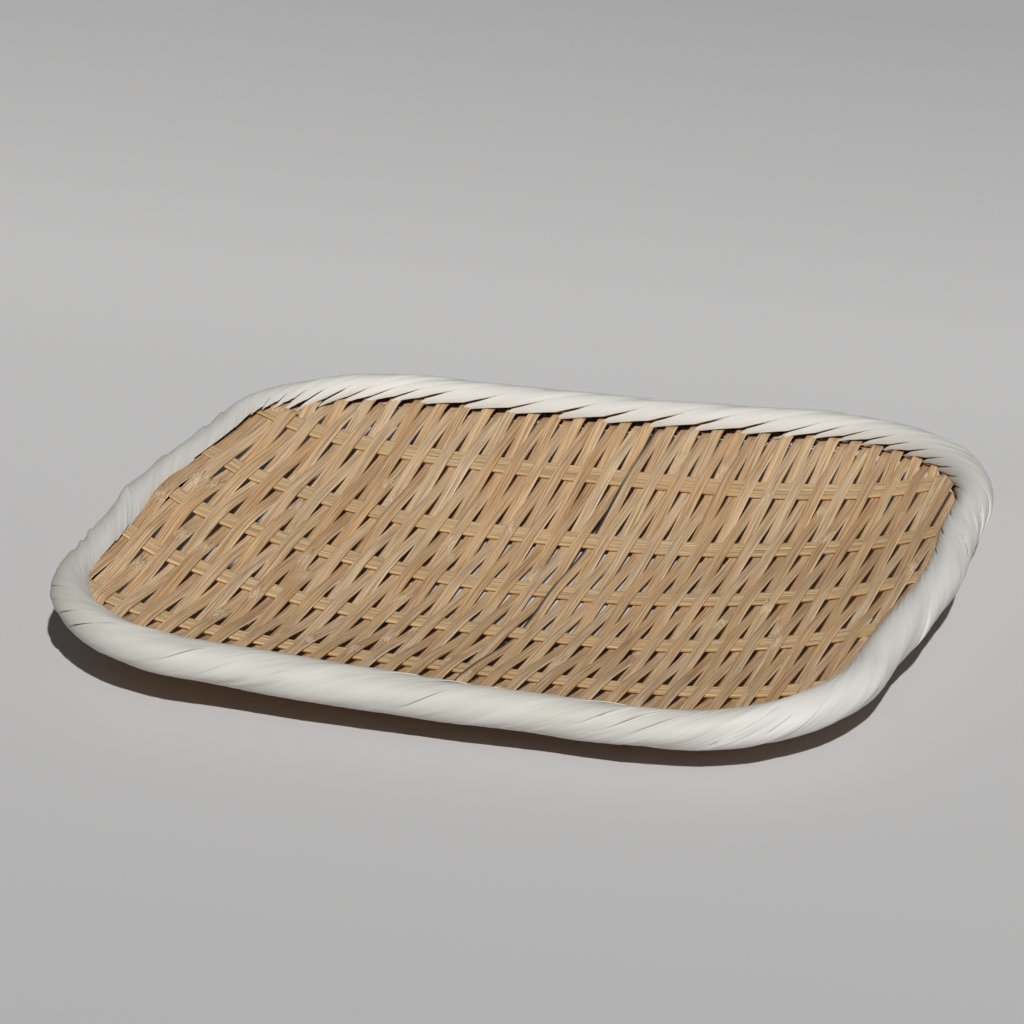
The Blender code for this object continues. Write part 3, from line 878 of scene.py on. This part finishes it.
# place on the rim's line, and the angle that points outwards from it
def rimAt(distance):
    distance %= rimLength
    for length, kind, data in runs:
        if distance <= length:
            break
        distance -= length
    share = min(distance / length, 1.0)
    if kind == "corner":
        (cx, cy), radius, start = data
        angle = start + quarter * share
        return cx + radius * math.cos(angle), cy + radius * math.sin(angle), angle
    side, start, end = data
    along = start + (end - start) * share
    if kind == "end":
        straight = halfWidth - cornerRadiusAt(side, along)
        lean = tray["endBow"] * math.sin(math.pi * along / straight) * quarter / straight
        return edgeX(along, 0.0, side), along, (0.0 if side > 0 else math.pi) + side * lean
    straight = halfLength - cornerRadiusAt(along, side)
    lean = tray["sideBow"] * math.sin(math.pi * along / straight) * quarter / straight
    return along, edgeY(along, 0.0, side), side * quarter - side * lean


# a point on the rim's section: angle 0 is its inner side, a quarter turn is its top
def rimPoint(distance, angle, radius):
    x, y, outward = rimAt(distance)
    reach = -radius * math.cos(angle)
    height = tray["rimHeight"] + rimRise(x, y) + radius * math.sin(angle)
    return Vector((x + reach * math.cos(outward), y + reach * math.sin(outward), height))


# the white band: each turn is a blade that starts in a cut tip beside the mat, leans along the rim
# and closes against the next blade at the top. The band is fuller along the front and slacker at the
# front's right end
turns = {
    "sideSpacing": 0.0194, "cornerSpacing": 0.0120, "phase": 0.0111, "jitter": 0.0009, "jitterPace": 1.9,
    "innerSlant": 0.037, "outerSlant": 0.024, "thickness": 0.0003, "lipRadius": 0.0065,
    "base": 0.00705, "columns": 18, "hiddenColumns": 5, "crowding": 3, "rows": 64, "rowSpread": 1.35,
    "lipPower": 0.85,
    "lowerLipGuess": 1.8 * math.pi, "lowerLipTries": 4,
    "outerRange": (math.radians(50), math.radians(115)),
    "innerStep": 0.00034, "tuckDepth": 0.0006, "wall": 0.004,
    "hidden": 0.40, "hiddenRange": (math.radians(12), math.radians(55)),
    "wedge": 0.20, "wedgeLeast": 0.6, "wedgeMost": 0.8, "wedgeReach": math.radians(50),
    "tipCut": 0.34, "fullScallop": math.radians(34),
    "crown": 0.00020,
    "swell": 0.0008, "swellInside": 0.35, "swellOutside": 0.65, "swellPace": 42, "swellTwist": 0.5,
    "pleat": 0.00007, "pleatsClosed": 2.5, "pleatPace": 9, "pleatTwist": 0.12,
    "pleatRanges": ((0.0, 0.2), (0.8, 1.0)),
    "roughPace": 0.9, "openLeast": 0.2, "openMost": 2.2, "openRange": (0.45, 0.72),
    "kink": 0.0042, "kinkLeast": 0.08, "kinkMost": 0.0009, "kinkReach": 0.8,
    "kinkPace": 1.37, "kinkMiddle": 150, "kinkStray": 60, "kinkStrayPace": 1.1,
    "kinkRise": 0.7, "kinkHold": 0.1, "kinkFall": 0.9,
    "full": 0.0011, "fullRanges": ((0.745, 0.78), (0.84, 0.88)),
    "slack": 0.0008, "slackRanges": ((0.90, 0.93), (0.95, 0.98)),
    "tonePace": 0.7, "paintedFrontShade": 3.0, "frontRange": (0.09, 0.13), "grainStep": 2.7,
    # the painted shadow line along each seam: its strength, its width and the angles where it fades
    "seam": 0.85, "seamShadowWidth": 0.035, "seamShadowRange": (math.radians(45), math.radians(85)),
    "border": 0.8, "borderRange": (0.94, 0.985),
}

# share of the way round the rim, then the lip's angle in degrees at a blade's tip and between tips,
# and how open the blades' seams are
lipShape = [
    (0.0, 20, 34, 0.2), (0.07, 25, 38, 0.3), (0.14, 10, 35, 0.5), (0.18, -12, 14, 0.9),
    (0.22, -18, 10, 1.0), (0.43, -18, 10, 1.0), (0.46, -20, 14, 0.9), (0.49, 30, 38, 0.2),
    (0.51, 39, 41, 0.05), (0.545, 39, 40, 0.05), (0.58, 28, 30, 0.05), (0.63, 26, 29, 0.05),
    (0.645, 42, 45, 0.05), (0.66, 26, 30, 0.05), (0.73, 18, 28, 0.08), (0.92, 18, 28, 0.1),
    (1.0, 20, 34, 0.2),
]


def lipAt(distance):
    share = (distance % rimLength) / rimLength
    for (s0, tip0, top0, open0), (s1, tip1, top1, open1) in zip(lipShape, lipShape[1:]):
        if share <= s1:
            t = smooth(share, s0, s1)
            tip, top = tip0 + (tip1 - tip0) * t, top0 + (top1 - top0) * t
            return math.radians(tip), math.radians(top), open0 + (open1 - open0) * t


# how far a blade has leaned along the rim
def slantAt(angle):
    inner = min(angle, quarter)
    return (turns["innerSlant"] * inner + turns["outerSlant"] * (angle - inner)) / quarter


# where a blade ends, at the lower side of the slot that the mat goes into
def lowerLipAt(distance):
    lower = turns["lowerLipGuess"]
    for _ in range(turns["lowerLipTries"]):
        x, y, _ = rimAt(distance - slantAt(lower))
        opening = tray["slotHeight"] / 2 - min(slotShift(x, y), 0.0)
        lower = 2 * math.pi - math.asin(opening / turns["lipRadius"])
    return lower


def turnStarts():
    starts, begin = [], 0.0
    for length, kind, _ in runs:
        spacing = turns["cornerSpacing"] if kind == "corner" else turns["sideSpacing"]
        count = max(round(length / spacing), 1)
        starts += [begin + length * step / count for step in range(count)]
        begin += length
    strays = [turns["jitter"] * wobble(n * turns["jitterPace"], seeds["jitter"]) for n in range(len(starts))]
    return [start + turns["phase"] + stray for start, stray in zip(starts, strays)]


# one blade: u runs across it, from the edge that is tucked under the blade before to its free edge,
# and t is 0 at the seam with the blade before and 1 at the seam with the next
def addBlade(shell, number, start, span):
    columns, rows = turns["columns"], turns["rows"]
    tone = wobble(number * turns["tonePace"], seeds["bladeTone"])
    # painted shade: blades along the front take more cream, so the front of the band looks darker, as if it
    # were less lit
    tone += turns["paintedFrontShade"] * smooth(-rimAt(start)[1], *turns["frontRange"])
    rough = 0.5 + 0.5 * wobble(number * turns["roughPace"], seeds["rough"])
    tip, top, openness = lipAt(start + span / 2)
    loose = turns["openLeast"] + turns["openMost"] * smooth(rough, *turns["openRange"])
    openness *= openness + (1 - openness) * loose
    kink = wobble(number * turns["kinkPace"], seeds["kink"])
    folded = min(turns["kink"] * max(abs(kink) - turns["kinkLeast"], 0.0), turns["kinkMost"])
    raised, proud = (folded, 0.0) if kink > 0 else (0.0, folded)
    kinkStray = turns["kinkStray"] * wobble(number * turns["kinkStrayPace"], seeds["kinkPlace"])
    kinkAt = math.radians(turns["kinkMiddle"] + kinkStray)
    kinkRise = (kinkAt - turns["kinkRise"], kinkAt)
    kinkFall = (kinkAt + turns["kinkHold"], kinkAt + turns["kinkFall"])
    scalloped = min((top - tip) / turns["fullScallop"], 1.0)
    wedge = turns["wedge"] * scalloped * (turns["wedgeLeast"] + turns["wedgeMost"] * rough)
    cut = turns["tipCut"] * scalloped
    share = (start + span / 2) / rimLength
    full = turns["full"] * between(share, *turns["fullRanges"])
    full -= turns["slack"] * between(share, *turns["slackRanges"])
    first = len(shell["points"])
    for i in range(columns + 1):
        u = i / columns
        upperLip = tip + (top - tip) * (1 - u) ** turns["lipPower"]
        lowerLip = lowerLipAt(start + span * u)
        for j in range(rows + 1):
            angle = upperLip + (lowerLip - upperLip) * (j / rows) ** turns["rowSpread"]
            above = angle - top
            least = -turns["hidden"] * smooth(above, *turns["hiddenRange"])
            most = 1 - wedge * (1 - smooth(above, 0.0, turns["wedgeReach"]))
            most -= cut * (1 - smooth(angle, tip, top))
            t = least + (most - least) * u
            # where the edge is tucked under, a few columns make the hidden part and crowd to the seam
            if i <= turns["hiddenColumns"]:
                stepped = least * (1 - i / turns["hiddenColumns"]) ** turns["crowding"]
            else:
                stepped = most * (i - turns["hiddenColumns"]) / (columns - turns["hiddenColumns"])
            t += (stepped - t) * -least / turns["hidden"]
            outer = smooth(angle, *turns["outerRange"])
            kinked = between(angle, kinkRise, kinkFall)
            step = turns["innerStep"] * (1 - outer) * openness + raised * kinked
            if t >= 0:
                crown = turns["crown"] * math.sin(math.pi * min(t, 1.0))
                radius = turns["base"] + step * t + crown * openness
                radius += proud * kinked * (1 - smooth(t, 0.0, turns["kinkReach"]))
            else:
                radius = turns["base"] - turns["tuckDepth"] * smooth(-t, 0.0, turns["hidden"])
                radius += proud * kinked * (1 - smooth(-t, 0.0, turns["wall"]))
            along = start + span * t
            swell = turns["swell"] * (turns["swellInside"] + turns["swellOutside"] * outer)
            pleats = turns["pleat"] * (1 + turns["pleatsClosed"] * (1 - openness))
            radius += full * (1 - outer)
            radius += swell * wobble(along * turns["swellPace"] + angle * turns["swellTwist"], seeds["swell"])
            course = number + seeds["pleat"] + angle * turns["pleatTwist"]
            radius += pleats * between(t, *turns["pleatRanges"]) * wobble(t * turns["pleatPace"], course)
            # painted shadow: a thin olive-brown line at the start of each blade, beside the blade before,
            # fading towards the top
            seam = (1 - smooth(t, 0.0, turns["seamShadowWidth"])) * (1 - smooth(angle, *turns["seamShadowRange"]))
            border = turns["border"] * smooth(t, *turns["borderRange"]) * (1 - outer)
            place = (t * span, angle * turns["base"], number * turns["grainStep"])
            marks = (tone, turns["seam"] * seam * openness, border * openness)
            addPoint(shell, rimPoint(along - slantAt(angle), angle, radius), place, marks)
    for i in range(columns):
        for j in range(rows):
            a = first + i * (rows + 1) + j
            shell["faces"].append((a, a + rows + 1, a + rows + 2, a + 1))


def makeBand():
    shell, starts = newShell(), turnStarts()
    for number, start in enumerate(starts):
        following = starts[(number + 1) % len(starts)]
        addBlade(shell, number, start, (following - start) % rimLength)
    wrap = makePiece("rim_band", shell, bandMaterial, closed=False)
    thicken = wrap.modifiers.new("thickness", "SOLIDIFY")
    thicken.thickness = turns["thickness"]
    thicken.offset = -1.0
    print("band made:", len(starts), "turns")
    return wrap


wrap = makeBand()
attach(wrap, "root")
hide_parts("rim_wrap")


# floor: a plain sheet with painted light: brightest in a broad band just behind the tray, darker towards the
# front and darker still far behind
floor = {
    "half": 6.0,
    "near": (0.585, 0.583, 0.592, 1),
    "middle": (0.695, 0.693, 0.702, 1),
    "far": (0.515, 0.512, 0.52, 1),
    "middleRange": (-0.45, 0.3),
    "farRange": (0.33, 0.78),
    "roughness": 0.9,
    "specular": 0.1,
}


def makeFloor():
    mesh = bpy.data.meshes.new("floor")
    half = floor["half"]
    corners = [(-half, -half, 0), (half, -half, 0), (half, half, 0), (-half, half, 0)]
    mesh.from_pydata(corners, [], [(0, 1, 2, 3)])
    ground = bpy.data.objects.new("floor", mesh)
    bpy.context.scene.collection.objects.link(ground)
    material = bpy.data.materials.new("floorPaper")
    material.use_nodes = True
    tree = material.node_tree
    shader = tree.nodes["Principled BSDF"]
    coord = addNode(tree, "ShaderNodeTexCoord", -900, 0)
    split = addNode(tree, "ShaderNodeSeparateXYZ", -700, 0)
    tree.links.new(coord.outputs["Object"], split.inputs[0])
    # painted light: the middle tone is the lit pool, falling off to the near and far tones
    behind = rangeNode(tree, -500, 100, split.outputs["Y"], *floor["middleRange"])
    colour = mixColour(tree, -300, 100, behind, floor["near"], floor["middle"])
    beyond = rangeNode(tree, -500, -100, split.outputs["Y"], *floor["farRange"])
    colour = mixColour(tree, -150, 0, beyond, colour, floor["far"])
    tree.links.new(colour, shader.inputs["Base Color"])
    shader.inputs["Roughness"].default_value = floor["roughness"]
    shader.inputs["Specular IOR Level"].default_value = floor["specular"]
    mesh.materials.append(material)


makeFloor()
print("floor laid")
